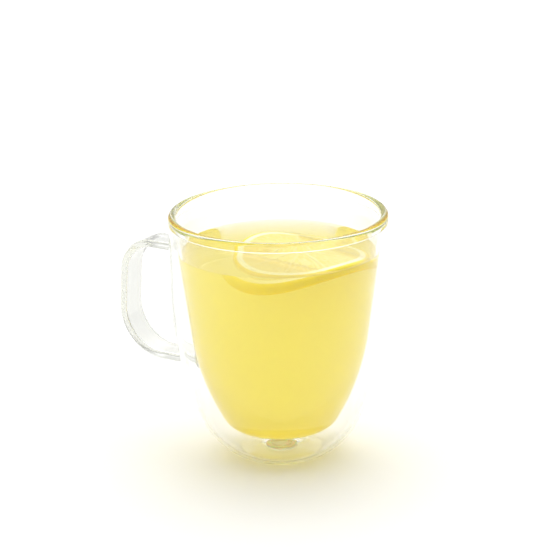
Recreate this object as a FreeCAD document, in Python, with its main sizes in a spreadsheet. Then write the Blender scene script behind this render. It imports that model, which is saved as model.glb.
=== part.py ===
"""Double-walled glass mug of lemon tea with a slice of lemon, in millimetres, +Z up.

The origin is the centre of the flat foot, on the table. The handle points along -X.
The mug is one piece of glass: an outer shell and an inner bowl joined at the rim, with a flat
strap handle. A silicone plug closes the vent in its foot. The tea stands in the bowl, and the
slice lies in it, arched so that its ridge is just out of the tea and its sides droop under it.
"""

import FreeCAD
import Part

import math
import os

import Sketcher

# How near to a radius an edge lies to count as on it, and how many of its points are tried.
CLOSE_ENOUGH = 1e-3
EDGE_SAMPLES = 7

# Driving dimensions: alias, value, meaning. Lengths in mm, angles in degrees.
DRIVING_SIZES = (
    ("mug_height", 104.0, "foot to the top of the rim"),
    ("body_radius", 45.0, "outer shell where it is widest"),
    ("shell_wall", 1.5, "thickness of the outer shell"),
    ("shoulder_height", 74.0, "above this the shell is a straight cylinder"),
    ("belly_curve", 150.0, "radius of the shell's long curve below the shoulder"),
    ("haunch_height", 17.0, "where the long curve meets the tight one"),
    ("haunch_curve", 32.0, "radius of the shell's curve into the foot"),
    ("foot_corner", 2.5, "rounding between the foot and the shell"),
    ("foot_thickness", 1.8, "glass under the hollow"),
    ("rim_thickness", 2.96, "glass at the rim, where the shell and the bowl are one"),
    ("seam_depth", 4.0, "how far below the rim the hollow between the walls ends"),
    ("bowl_wall", 1.4, "thickness of the inner bowl"),
    ("bowl_base_height", 8.9, "foot to the underside of the bowl"),
    ("bowl_crown", 55.0, "radius of the bowl's shallow bottom, outside"),
    ("bowl_corner", 9.0, "radius between the bowl's bottom and its side, outside"),
    ("bowl_side", 97.0, "radius of the bowl's lower side, outside"),
    ("bowl_bend_height", 53.0, "above this the bowl is a straight cone"),
    ("bowl_taper", 7.4, "lean of that cone from upright"),
    ("vent_radius", 5.0, "hole in the foot that vents the hollow"),
    ("plug_fit", 0.05, "gap between the plug and the glass round it"),
    ("plug_flange", 6.6, "radius of the plug's flange, inside the hollow"),
    ("plug_flange_thickness", 1.0, "flange of the plug"),
    ("plug_dish", 4.4, "radius of the dish in the top of the plug"),
    ("plug_dish_depth", 0.5, "depth of that dish"),
    ("plug_recess", 0.4, "how far the plug stays above the table"),
    ("plug_edge", 0.3, "rounding of the flange"),
    ("handle_top", 83.4, "height of the strap's upper root, at mid thickness"),
    ("handle_bottom", 34.5, "height of the strap's lower root, at mid thickness"),
    ("handle_reach", 76.0, "axis to the outermost face of the strap"),
    ("handle_width", 12.8, "strap, across"),
    ("handle_thickness", 3.3, "strap, through"),
    ("handle_edge", 1.3, "rounding of the strap's long edges"),
    ("handle_top_bend", 14.3, "radius of the upper bend, at mid thickness"),
    ("handle_low_bend", 19.3, "radius of the lower bend, at mid thickness"),
    ("handle_lean", 3.7, "how far the grip leans outwards going down"),
    ("handle_bite", 9.0, "how far each root runs in from the widest radius"),
    ("root_flare", 1.4, "fused glass round each root of the strap"),
    ("tea_level", 88.6, "foot to the surface of the tea"),
    ("tea_fit", 0.05, "gap between the tea's solid and the glass"),
    ("slice_radius", 27.5, "lemon slice with its rind"),
    ("slice_thickness", 3.8, "lemon slice, through the rind"),
    ("slice_edge", 1.1, "rounding of the rind's edges"),
    ("slice_curl", 53.0, "radius of the slice's arch, at mid thickness"),
    ("rind_width", 3.6, "rind and white pith together"),
    ("pulp_sink", 0.35, "how far the pulp lies below the rind on each face"),
    ("core_radius", 2.4, "white core of the slice"),
    ("membrane", 0.6, "skin between two segments"),
    ("segment_count", 9.0, "segments in the slice"),
    ("slice_way", -9.7, "way from the mug's axis to the slice's centre, from +X towards +Y"),
    ("slice_wall_gap", 0.67, "between the slice and the bowl's wall, level with the tea"),
    ("slice_rise", 0.16, "middle of the slice's ridge above the surface of the tea"),
    ("slice_pitch", 1.3, "lean of the ridge, higher at its far end"),
    ("slice_bearing", 163.7, "way the ridge runs, from +X towards +Y"),
    ("slice_fit", 0.1, "gap between the slice and the tea round it"),
    ("cut_margin", 1.0, "how far a cut runs past the glass it opens"),
)


def polar(centre, radius, degrees):
    """Point at a radius and an angle from a centre."""
    angle = math.radians(degrees)
    return (centre[0] + radius * math.cos(angle), centre[1] + radius * math.sin(angle))


def bearing(start, end):
    """Angle in degrees of the line from one point to another."""
    return math.degrees(math.atan2(end[1] - start[1], end[0] - start[0]))


def circle_meeting(first, first_radius, second, second_radius):
    """Lower right point where two circles cross."""
    span = math.dist(first, second)
    along = (span**2 + first_radius**2 - second_radius**2) / (2.0 * span)
    across = math.sqrt(first_radius**2 - along**2)
    way = bearing(first, second)
    foot = polar(first, along, way)
    both = (polar(foot, across, way + 90.0), polar(foot, across, way - 90.0))
    return max(both, key=lambda point: point[0] - point[1])


def shell_shape(size, inset, floor, corner):
    """Junctions and centres of the shell's surface that lies `inset` inside its outside."""
    belly_centre = (size["body_radius"] - size["belly_curve"], size["shoulder_height"])
    drop = size["shoulder_height"] - size["haunch_height"]
    fall = -math.degrees(math.asin(drop / size["belly_curve"]))
    haunch = polar(belly_centre, size["belly_curve"] - inset, fall)
    haunch_centre = polar(belly_centre, size["belly_curve"] - size["haunch_curve"], fall)
    haunch_radius = size["haunch_curve"] - inset
    rise = floor + corner - haunch_centre[1]
    corner_centre = (
        haunch_centre[0] + math.sqrt((haunch_radius - corner) ** 2 - rise**2),
        floor + corner,
    )
    return {
        "foot": (corner_centre[0], floor),
        "foot_end": polar(corner_centre, corner, bearing(haunch_centre, corner_centre)),
        "foot_centre": corner_centre,
        "haunch": haunch,
        "haunch_centre": haunch_centre,
        "shoulder": (size["body_radius"] - inset, size["shoulder_height"]),
        "belly_centre": belly_centre,
    }


def bowl_shape(size, inset):
    """Junctions and centres of the bowl's surface that lies `inset` inside its outside."""
    lean = math.radians(size["bowl_taper"])
    mouth = size["body_radius"] - size["rim_thickness"] + size["bowl_wall"] / math.cos(lean)
    climb = size["mug_height"] - size["bowl_bend_height"]
    bend = (mouth - climb * math.tan(lean), size["bowl_bend_height"])
    side_centre = polar(bend, -size["bowl_side"], -size["bowl_taper"])
    crown_centre = (0.0, size["bowl_base_height"] + size["bowl_crown"])
    corner_centre = circle_meeting(
        crown_centre,
        size["bowl_crown"] - size["bowl_corner"],
        side_centre,
        size["bowl_side"] - size["bowl_corner"],
    )
    corner = size["bowl_corner"] - inset
    return {
        "low": (0.0, size["bowl_base_height"] + inset),
        "crown_end": polar(corner_centre, corner, bearing(crown_centre, corner_centre)),
        "side_start": polar(corner_centre, corner, bearing(side_centre, corner_centre)),
        "bend": polar(bend, -inset, -size["bowl_taper"]),
        "crown_centre": crown_centre,
        "corner_centre": corner_centre,
        "side_centre": side_centre,
    }


def bowl_radius_at(size, inset, height):
    """Radius of the bowl's straight cone at a height."""
    bend = bowl_shape(size, inset)["bend"]
    return bend[0] + (height - bend[1]) * math.tan(math.radians(size["bowl_taper"]))


def round_between(size, outer_radius, inner_radius):
    """Radius of the rounding that joins an upright wall to the bowl's leaning one."""
    lean = math.radians(size["bowl_taper"])
    return (outer_radius - inner_radius) * math.cos(lean) / (1.0 + math.cos(lean) - math.sin(lean))


def dependent_sizes(size):
    """Sizes that follow from the driving ones, so that pieces that meet share them."""
    found = {}
    found["mouth_radius"] = size["body_radius"] - size["rim_thickness"]
    found["rim_round"] = round_between(size, size["body_radius"], found["mouth_radius"])
    found["hollow_radius"] = size["body_radius"] - size["shell_wall"]
    found["hollow_top"] = size["mug_height"] - size["seam_depth"]
    bowl_at_top = bowl_radius_at(size, 0.0, found["hollow_top"])
    found["hollow_round"] = round_between(size, found["hollow_radius"], bowl_at_top)
    found["hollow_belly"] = size["belly_curve"] - size["shell_wall"]
    found["hollow_haunch"] = size["haunch_curve"] - size["shell_wall"]
    hollow = shell_shape(size, size["shell_wall"], size["foot_thickness"], size["foot_corner"])
    found["hollow_haunch_height"] = hollow["haunch"][1]
    found["bowl_lean"] = 90.0 - size["bowl_taper"]
    found["cut_top"] = size["mug_height"] + size["cut_margin"]
    found["vent_cut"] = size["foot_thickness"] + size["cut_margin"]
    insets = {"bowl": 0.0, "inside": size["bowl_wall"], "tea": size["bowl_wall"] + size["tea_fit"]}
    for name, inset in insets.items():
        shape = bowl_shape(size, inset)
        found[name + "_low"] = shape["low"][1]
        found[name + "_crown_radius"] = size["bowl_crown"] - inset
        found[name + "_corner_radius"] = size["bowl_corner"] - inset
        found[name + "_side_radius"] = size["bowl_side"] - inset
        found[name + "_bend_radius"] = shape["bend"][0]
        found[name + "_bend_height"] = shape["bend"][1]
    found["plug_radius"] = size["vent_radius"] - size["plug_fit"]
    found["plug_seat"] = size["foot_thickness"] + size["plug_fit"]
    found["plug_top"] = found["plug_seat"] + size["plug_flange_thickness"]
    found["plug_dish_floor"] = found["plug_top"] - size["plug_dish_depth"]
    found["handle_root"] = size["body_radius"] - size["handle_bite"]
    half_strap = 0.5 * size["handle_thickness"]
    found["handle_low_centre"] = size["handle_reach"] - half_strap - size["handle_low_bend"]
    found["handle_grip"] = 90.0 - size["handle_lean"]
    found["pulp_radius"] = size["slice_radius"] - size["rind_width"]
    found["pulp_thickness"] = size["slice_thickness"] - 2.0 * size["pulp_sink"]
    found["membrane_start"] = 0.5 * size["core_radius"]
    found["membrane_end"] = found["pulp_radius"] + 0.5 * size["membrane"]
    inner_radius = bowl_radius_at(size, size["bowl_wall"], size["tea_level"])
    slice_reach = inner_radius - size["slice_wall_gap"] - size["slice_radius"]
    centre = polar((0.0, 0.0), slice_reach, size["slice_way"])
    found["slice_x"], found["slice_y"] = centre
    found["slice_height"] = size["tea_level"] + size["slice_rise"]
    found["space_radius"] = size["slice_radius"] + size["slice_fit"]
    found["space_thickness"] = size["slice_thickness"] + 2.0 * size["slice_fit"]
    found["sheet_half"] = found["space_radius"] + size["cut_margin"]
    found["sheet_length"] = 2.0 * found["sheet_half"]
    sag = size["slice_curl"] - math.sqrt(size["slice_curl"] ** 2 - found["sheet_half"] ** 2)
    found["block_height"] = 2.0 * (sag + size["slice_thickness"])
    sheets = {
        "slice": size["slice_thickness"],
        "pulp": found["pulp_thickness"],
        "space": found["space_thickness"],
    }
    for name, thickness in sheets.items():
        found[name + "_upper"] = size["slice_curl"] + 0.5 * thickness
        found[name + "_lower"] = size["slice_curl"] - 0.5 * thickness
    return found


def fill_sheet(document):
    """Write every size in the document's sheet and return them by alias."""
    sheet = document.addObject("Spreadsheet::Sheet", "Sizes")
    size = {alias: value for alias, value, _ in DRIVING_SIZES}
    notes = {alias: meaning for alias, _, meaning in DRIVING_SIZES}
    size.update(dependent_sizes(size))
    for row, (alias, value) in enumerate(size.items(), start=1):
        sheet.set("A%d" % row, alias)
        sheet.set("B%d" % row, repr(float(value)))
        sheet.set("C%d" % row, notes.get(alias, "follows from the sizes above"))
        sheet.setAlias("B%d" % row, alias)
    document.recompute()
    return size


class Outline:
    """Sketch drawn piece by piece, each piece starting where the last one ended."""

    ORIGIN = (-1, 1)
    LEVEL = -1
    AXIS = -2

    def __init__(self, body, name, plane_role):
        self.sketch = body.newObject("Sketcher::SketchObject", name)
        plane = next(item for item in body.Origin.OriginFeatures if item.Role == plane_role)
        self.sketch.AttachmentSupport = [(plane, "")]
        self.sketch.MapMode = "FlatFace"
        self.pieces = []

    def line(self, start, end, tangent=False, drawn_backwards=False):
        """Add a straight piece."""
        ends = [FreeCAD.Vector(*point, 0.0) for point in (start, end)]
        if drawn_backwards:
            ends.reverse()
        index = self.sketch.addGeometry(Part.LineSegment(*ends), False)
        return self._join(index, drawn_backwards, tangent)

    def arc(self, centre, start, end, turn, tangent=True):
        """Add an arc that turns left (+1) or right (-1) round its centre."""
        angles = [math.radians(bearing(centre, point)) for point in (start, end)]
        if turn < 0:
            angles.reverse()
        middle = FreeCAD.Vector(*centre, 0.0)
        circle = Part.Circle(middle, FreeCAD.Vector(0.0, 0.0, 1.0), math.dist(centre, start))
        index = self.sketch.addGeometry(Part.ArcOfCircle(circle, *angles), False)
        return self._join(index, turn < 0, tangent)

    def _join(self, index, backwards, tangent):
        """Tie a new piece's first end to the last piece's final end."""
        entry, leave = (2, 1) if backwards else (1, 2)
        if self.pieces:
            last, _, last_leave = self.pieces[-1]
            kind = "Tangent" if tangent else "Coincident"
            self.sketch.addConstraint(
                Sketcher.Constraint(kind, last, last_leave, index, entry)
            )
        self.pieces.append((index, entry, leave))
        return index

    def close(self):
        """Tie the last end to the first."""
        first, entry, _ = self.pieces[0]
        last, _, leave = self.pieces[-1]
        self.sketch.addConstraint(Sketcher.Constraint("Coincident", last, leave, first, entry))

    def entry(self, index):
        """Geometry index and vertex of a piece's first end."""
        return (index, next(piece[1] for piece in self.pieces if piece[0] == index))

    def leave(self, index):
        """Geometry index and vertex of a piece's final end."""
        return (index, next(piece[2] for piece in self.pieces if piece[0] == index))

    def rule(self, kind, *places):
        """Add a constraint that has no size."""
        self.sketch.addConstraint(Sketcher.Constraint(kind, *places))

    def on_axis(self, point):
        """Keep a point on the sketch's upright axis."""
        self.rule("PointOnObject", *point, self.AXIS)

    def sized(self, kind, places, alias, size):
        """Add a constraint whose value is a cell of the sheet."""
        value = math.radians(size[alias]) if kind == "Angle" else size[alias]
        index = self.sketch.addConstraint(Sketcher.Constraint(kind, *places, value))
        unit = " * 1 deg" if kind == "Angle" else ""
        self.sketch.setExpression("Constraints[%d]" % index, "Sizes.%s%s" % (alias, unit))

    def at_height(self, point, alias, size):
        """Set how far a point is above the origin."""
        self.sized("DistanceY", (*self.ORIGIN, *point), alias, size)

    def at_radius(self, point, alias, size):
        """Set how far a point is to the right of the origin."""
        self.sized("DistanceX", (*self.ORIGIN, *point), alias, size)


def new_body(document, name):
    """PartDesign body whose label is also its node's name."""
    body = document.addObject("PartDesign::Body", name)
    body.Label = name
    return body


def turn_round_axis(body, kind, name, outline):
    """Revolve or groove an outline a full turn round the upright axis."""
    feature = body.newObject("PartDesign::" + kind, name)
    feature.Profile = outline.sketch
    feature.ReferenceAxis = (outline.sketch, ["V_Axis"])
    feature.Angle = 360.0
    return feature


def draw_shell(outline, shape, size, radii, haunch_height):
    """Draw the foot, haunch, belly and wall, starting on the axis. Return the wall's index."""
    foot_radius, haunch_radius, belly_radius, wall_radius = radii
    top = (shape["shoulder"][0], size["hollow_top"])
    start = (0.0, shape["foot"][1])
    floor = outline.line(start, shape["foot"])
    foot = outline.arc(shape["foot_centre"], shape["foot"], shape["foot_end"], 1)
    haunch = outline.arc(shape["haunch_centre"], shape["foot_end"], shape["haunch"], 1)
    belly = outline.arc(shape["belly_centre"], shape["haunch"], shape["shoulder"], 1)
    wall = outline.line(shape["shoulder"], top, tangent=True)
    outline.rule("Horizontal", floor)
    outline.rule("Vertical", wall)
    outline.sized("Radius", (foot,), foot_radius, size)
    outline.sized("Radius", (haunch,), haunch_radius, size)
    outline.sized("Radius", (belly,), belly_radius, size)
    outline.at_height(outline.entry(belly), haunch_height, size)
    outline.at_height(outline.entry(wall), "shoulder_height", size)
    outline.at_radius(outline.entry(wall), wall_radius, size)
    return floor, wall


def size_bowl(outline, pieces, name, size):
    """Bind the crown, corner, side and cone of a bowl outline to the sheet."""
    crown, corner, side, cone, low, bend = pieces
    outline.on_axis((crown, 3))
    outline.on_axis(low)
    outline.at_height(low, name + "_low", size)
    outline.sized("Radius", (crown,), name + "_crown_radius", size)
    outline.sized("Radius", (corner,), name + "_corner_radius", size)
    outline.sized("Radius", (side,), name + "_side_radius", size)
    outline.at_radius(bend, name + "_bend_radius", size)
    outline.at_height(bend, name + "_bend_height", size)
    outline.sized("Angle", (cone,), "bowl_lean", size)


def draw_bowl_up(outline, name, inset, top, size):
    """Draw a bowl's surface from its lowest point up to a height. Return the cone's index."""
    shape = bowl_shape(size, inset)
    cone_top = (bowl_radius_at(size, inset, top), top)
    crown = outline.arc(shape["crown_centre"], shape["low"], shape["crown_end"], 1)
    corner = outline.arc(shape["corner_centre"], shape["crown_end"], shape["side_start"], 1)
    side = outline.arc(shape["side_centre"], shape["side_start"], shape["bend"], 1)
    cone = outline.line(shape["bend"], cone_top, tangent=True)
    low = outline.entry(crown)
    size_bowl(outline, (crown, corner, side, cone, low, outline.entry(cone)), name, size)
    return cone


def add_outer_form(body, size):
    """The mug's outside as a full solid, with the outer half of the rounded rim."""
    outline = Outline(body, "outer_outline", "XZ_Plane")
    shape = shell_shape(size, 0.0, 0.0, size["foot_corner"])
    radii = ("foot_corner", "haunch_curve", "belly_curve", "body_radius")
    floor, wall = draw_shell(outline, shape, size, radii, "haunch_height")
    outline.rule("Coincident", *outline.entry(floor), *Outline.ORIGIN)
    rim_centre = (size["body_radius"] - size["rim_round"], size["mug_height"] - size["rim_round"])
    rim_side = polar(rim_centre, size["rim_round"], 0.0)
    rim_top = polar(rim_centre, size["rim_round"], 90.0)
    rim = outline.arc(rim_centre, rim_side, rim_top, 1)
    lid = outline.line(rim_top, (0.0, size["mug_height"]), tangent=True)
    outline.line((0.0, size["mug_height"]), (0.0, 0.0))
    outline.close()
    outline.sized("Radius", (rim,), "rim_round", size)
    outline.rule("Horizontal", lid)
    outline.at_height(outline.leave(lid), "mug_height", size)
    outline.on_axis(outline.leave(lid))
    return turn_round_axis(body, "Revolution", "outer_form", outline)


def add_handle(body, size):
    """Flat strap swept from the upper root round to the lower one."""
    lean = size["handle_lean"]
    low_centre = (-size["handle_low_centre"], size["handle_bottom"] + size["handle_low_bend"])
    grip_end = polar(low_centre, size["handle_low_bend"], 180.0 - lean)
    rise = math.sin(math.radians(lean))
    top_centre_height = size["handle_top"] - size["handle_top_bend"]
    grip_start_height = top_centre_height + size["handle_top_bend"] * rise
    climb = grip_start_height - grip_end[1]
    grip_start = (grip_end[0] + climb * math.tan(math.radians(lean)), grip_start_height)
    top_centre = polar(grip_start, -size["handle_top_bend"], 180.0 - lean)
    top_bend = polar(top_centre, size["handle_top_bend"], 90.0)
    low_bend = polar(low_centre, size["handle_low_bend"], 270.0)
    root = -size["handle_root"]

    path = Outline(body, "handle_path", "XZ_Plane")
    upper = path.line((root, size["handle_top"]), top_bend)
    top_arc = path.arc(top_centre, top_bend, grip_start, 1)
    grip = path.line(grip_start, grip_end, tangent=True, drawn_backwards=True)
    low_arc = path.arc(low_centre, grip_end, low_bend, 1)
    lower = path.line(low_bend, (root, size["handle_bottom"]), tangent=True)
    path.rule("Horizontal", upper)
    path.rule("Horizontal", lower)
    path.sized("Radius", (top_arc,), "handle_top_bend", size)
    path.sized("Radius", (low_arc,), "handle_low_bend", size)
    path.at_height(path.entry(upper), "handle_top", size)
    path.at_height(path.leave(lower), "handle_bottom", size)
    path.sized("DistanceX", (low_arc, 3, *Outline.ORIGIN), "handle_low_centre", size)
    path.sized("DistanceX", (*path.entry(upper), *Outline.ORIGIN), "handle_root", size)
    path.sized("DistanceX", (*path.leave(lower), *Outline.ORIGIN), "handle_root", size)
    angle = path.sketch.addConstraint(
        Sketcher.Constraint("Angle", grip, math.radians(size["handle_grip"]))
    )
    path.sketch.setExpression("Constraints[%d]" % angle, "Sizes.handle_grip * 1 deg")

    section = Outline(body, "handle_section", "YZ_Plane")
    section.sketch.AttachmentOffset = FreeCAD.Placement(
        FreeCAD.Vector(0.0, 0.0, root), FreeCAD.Rotation()
    )
    section.sketch.setExpression("AttachmentOffset.Base.z", "-Sizes.handle_root")
    draw_strap_section(section, size)

    handle = body.newObject("PartDesign::AdditivePipe", "handle")
    handle.Profile = section.sketch
    handle.Spine = (path.sketch, ["Edge%d" % (index + 1) for index, _, _ in path.pieces])
    return handle


def draw_strap_section(section, size):
    """Rectangle with rounded corners, centred on the upper end of the handle's path."""
    half_width = 0.5 * size["handle_width"]
    half_depth = 0.5 * size["handle_thickness"]
    edge = size["handle_edge"]
    middle = size["handle_top"]
    across = half_width - edge
    along = half_depth - edge
    corners = ((across, -along), (across, along), (-across, along), (-across, -along))
    sides = []
    arcs = []
    for quarter, (right, up) in enumerate(corners):
        last_right, last_up = corners[quarter - 1]
        facing = 90.0 * quarter - 90.0
        centre = (right, middle + up)
        start = polar((last_right, middle + last_up), edge, facing)
        corner_start = polar(centre, edge, facing)
        sides.append(section.line(start, corner_start, tangent=quarter > 0))
        arcs.append(section.arc(centre, corner_start, polar(centre, edge, facing + 90.0), 1))
    section.sketch.addConstraint(
        Sketcher.Constraint("Tangent", *section.leave(arcs[-1]), *section.entry(sides[0]))
    )
    section.rule("Horizontal", sides[0])
    section.rule("Vertical", sides[1])
    section.rule("Horizontal", sides[2])
    section.rule("Vertical", sides[3])
    for arc in arcs[1:]:
        section.rule("Equal", arcs[0], arc)
    section.sized("Radius", (arcs[0],), "handle_edge", size)
    section.sized(
        "DistanceX", (*section.entry(sides[3]), *section.entry(sides[1])), "handle_width", size
    )
    section.sized(
        "DistanceY", (*section.entry(sides[0]), *section.entry(sides[2])), "handle_thickness", size
    )
    centre = section.sketch.addGeometry(Part.Point(FreeCAD.Vector(0.0, middle, 0.0)), True)
    section.rule("Symmetric", arcs[0], 3, arcs[2], 3, centre, 1)
    section.on_axis((centre, 1))
    section.at_height((centre, 1), "handle_top", size)


def add_root_flare(body, base, size):
    """Round the inside corner where each root of the strap meets the shell."""
    inner = size["handle_root"] - size["handle_bite"]
    outer = size["body_radius"] + size["root_flare"]
    names = [
        "Edge%d" % number
        for number, edge in enumerate(base.Shape.Edges, start=1)
        if -outer < edge.BoundBox.XMin and edge.BoundBox.XMax < -inner
    ]
    flare = body.newObject("PartDesign::Fillet", "root_flare")
    flare.Base = (base, names)
    flare.Radius = size["root_flare"]
    flare.setExpression("Radius", "Sizes.root_flare")
    return flare


def add_bowl_cut(body, size):
    """Open the bowl, with the inner half of the rounded rim."""
    outline = Outline(body, "bowl_outline", "XZ_Plane")
    rim_centre = (size["body_radius"] - size["rim_round"], size["mug_height"] - size["rim_round"])
    rim_side = polar(rim_centre, size["rim_round"], 180.0 - size["bowl_taper"])
    rim_top = polar(rim_centre, size["rim_round"], 90.0)
    draw_bowl_up(outline, "inside", size["bowl_wall"], rim_side[1], size)
    rim = outline.arc(rim_centre, rim_side, rim_top, -1)
    above = (rim_top[0], size["cut_top"])
    riser = outline.line(rim_top, above)
    lid = outline.line(above, (0.0, size["cut_top"]))
    outline.line((0.0, size["cut_top"]), (0.0, size["inside_low"]))
    outline.close()
    outline.sized("Radius", (rim,), "rim_round", size)
    outline.rule("Vertical", rim, 3, *outline.leave(rim))
    outline.at_height(outline.leave(rim), "mug_height", size)
    outline.rule("Vertical", riser)
    outline.rule("Horizontal", lid)
    outline.at_height(outline.leave(lid), "cut_top", size)
    outline.on_axis(outline.leave(lid))
    return turn_round_axis(body, "Groove", "bowl_cut", outline)


def add_hollow(body, size):
    """Cut the closed space between the shell and the bowl."""
    outline = Outline(body, "hollow_outline", "XZ_Plane")
    shape = shell_shape(size, size["shell_wall"], size["foot_thickness"], size["foot_corner"])
    radii = ("foot_corner", "hollow_haunch", "hollow_belly", "hollow_radius")
    floor, _ = draw_shell(outline, shape, size, radii, "hollow_haunch_height")
    outline.on_axis(outline.entry(floor))
    outline.at_height(outline.entry(floor), "foot_thickness", size)
    bowl = bowl_shape(size, 0.0)
    end_centre = (
        size["hollow_radius"] - size["hollow_round"],
        size["hollow_top"] - size["hollow_round"],
    )
    wall_end = polar(end_centre, size["hollow_round"], 0.0)
    cone_top = polar(end_centre, size["hollow_round"], 180.0 - size["bowl_taper"])
    end = outline.arc(end_centre, wall_end, cone_top, 1)
    cone = outline.line(cone_top, bowl["bend"], tangent=True, drawn_backwards=True)
    side = outline.arc(bowl["side_centre"], bowl["bend"], bowl["side_start"], -1)
    corner = outline.arc(bowl["corner_centre"], bowl["side_start"], bowl["crown_end"], -1)
    crown = outline.arc(bowl["crown_centre"], bowl["crown_end"], bowl["low"], -1)
    outline.line(bowl["low"], (0.0, size["foot_thickness"]))
    outline.close()
    outline.sized("Radius", (end,), "hollow_round", size)
    pieces = (crown, corner, side, cone, outline.leave(crown), outline.leave(cone))
    size_bowl(outline, pieces, "bowl", size)
    return turn_round_axis(body, "Groove", "hollow", outline)


def add_circle_sketch(body, name, radii, size):
    """Sketch of circles round the origin, one for each alias."""
    outline = Outline(body, name, "XY_Plane")
    for alias in radii:
        circle = Part.Circle(FreeCAD.Vector(), FreeCAD.Vector(0.0, 0.0, 1.0), size[alias])
        index = outline.sketch.addGeometry(circle, False)
        outline.rule("Coincident", index, 3, *Outline.ORIGIN)
        outline.sized("Radius", (index,), alias, size)
    return outline


def add_vent(body, size):
    """Bore the vent up through the foot into the hollow."""
    outline = add_circle_sketch(body, "vent_outline", ("vent_radius",), size)
    vent = body.newObject("PartDesign::Pocket", "vent")
    vent.Profile = outline.sketch
    vent.Reversed = True
    vent.Length = size["vent_cut"]
    vent.setExpression("Length", "Sizes.vent_cut")
    return vent


def build_glass_mug(document, size):
    """Outer shell, inner bowl and strap handle as one piece of glass."""
    body = new_body(document, "glass_mug")
    add_outer_form(body, size)
    handle = add_handle(body, size)
    document.recompute()
    flared = add_root_flare(body, handle, size)
    document.recompute()
    volumes = [flared.Shape.Volume]
    for cut in (add_bowl_cut, add_hollow, add_vent):
        feature = cut(body, size)
        document.recompute()
        volumes.append(feature.Shape.Volume)
        if volumes[-1] >= volumes[-2]:
            raise RuntimeError("%s removed nothing" % feature.Name)
    return body


def build_vent_plug(document, size):
    """Silicone plug: a shank in the vent, and a dished flange on the glass inside."""
    body = new_body(document, "vent_plug")
    outline = Outline(body, "plug_outline", "XZ_Plane")
    edge = size["plug_edge"]
    flange_side = size["plug_flange"] - edge
    flange_top = size["plug_top"] - edge
    points = {
        "low": (size["plug_radius"], size["plug_recess"]),
        "seat": (size["plug_radius"], size["plug_seat"]),
        "lip": (size["plug_flange"], size["plug_seat"]),
        "lip_top": (size["plug_flange"], flange_top),
        "top": (flange_side, size["plug_top"]),
        "rim": (size["plug_dish"], size["plug_top"]),
        "dish": (size["plug_dish"], size["plug_dish_floor"]),
    }
    bottom = outline.line((0.0, size["plug_recess"]), points["low"])
    shank = outline.line(points["low"], points["seat"])
    seat = outline.line(points["seat"], points["lip"])
    side = outline.line(points["lip"], points["lip_top"])
    edge_arc = outline.arc((flange_side, flange_top), points["lip_top"], points["top"], 1)
    top = outline.line(points["top"], points["rim"], tangent=True)
    step = outline.line(points["rim"], points["dish"])
    dish = outline.line(points["dish"], (0.0, size["plug_dish_floor"]))
    outline.line((0.0, size["plug_dish_floor"]), (0.0, size["plug_recess"]))
    outline.close()
    for piece in (bottom, seat, top, dish):
        outline.rule("Horizontal", piece)
    for piece in (shank, side, step):
        outline.rule("Vertical", piece)
    outline.on_axis(outline.entry(bottom))
    outline.on_axis(outline.leave(dish))
    outline.sized("Radius", (edge_arc,), "plug_edge", size)
    outline.at_height(outline.entry(bottom), "plug_recess", size)
    outline.at_height(outline.entry(seat), "plug_seat", size)
    outline.at_height(outline.leave(top), "plug_top", size)
    outline.at_height(outline.leave(step), "plug_dish_floor", size)
    outline.at_radius(outline.leave(bottom), "plug_radius", size)
    outline.at_radius(outline.leave(seat), "plug_flange", size)
    outline.at_radius(outline.leave(top), "plug_dish", size)
    turn_round_axis(body, "Revolution", "plug_form", outline)
    return body


def add_level_pad(body, name, outline, thickness):
    """Pad an outline by the same amount on each side of its sketch."""
    pad = body.newObject("PartDesign::Pad", name)
    pad.Profile = outline.sketch
    pad.SideType = "Symmetric"
    pad.setExpression("Length", "Sizes." + thickness)
    return pad


def build_sheet(document, name, size):
    """Arched sheet, wider than the slice, whose ridge runs along X through the origin."""
    body = new_body(document, name + "_sheet")
    outline = Outline(body, name + "_arch", "YZ_Plane")
    centre = (0.0, -size["slice_curl"])
    half_angle = math.degrees(math.asin(size["sheet_half"] / size[name + "_lower"]))
    right, left = 90.0 - half_angle, 90.0 + half_angle
    upper = [polar(centre, size[name + "_upper"], angle) for angle in (right, left)]
    lower = [polar(centre, size[name + "_lower"], angle) for angle in (left, right)]
    top = outline.arc(centre, upper[0], upper[1], 1)
    near = outline.line(upper[1], lower[0])
    bottom = outline.arc(centre, lower[0], lower[1], -1, tangent=False)
    far = outline.line(lower[1], upper[0])
    outline.close()
    outline.rule("Coincident", top, 3, bottom, 3)
    outline.on_axis((top, 3))
    outline.sized("DistanceY", (top, 3, *Outline.ORIGIN), "slice_curl", size)
    outline.sized("Radius", (top,), name + "_upper", size)
    outline.sized("Radius", (bottom,), name + "_lower", size)
    outline.at_radius(outline.entry(far), "sheet_half", size)
    outline.rule("Horizontal", *outline.leave(near), *outline.entry(far))
    outline.rule("PointOnObject", top, 3, far)
    outline.rule("PointOnObject", top, 3, near)
    add_level_pad(body, name + "_slab", outline, "sheet_length")
    return body


def build_plan(document, name, radii, size):
    """Tall disc or ring that gives a sheet its outline as seen from above."""
    body = new_body(document, name + "_plan")
    outline = add_circle_sketch(body, name + "_circles", radii, size)
    add_level_pad(body, name + "_block", outline, "block_height")
    return body


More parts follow.
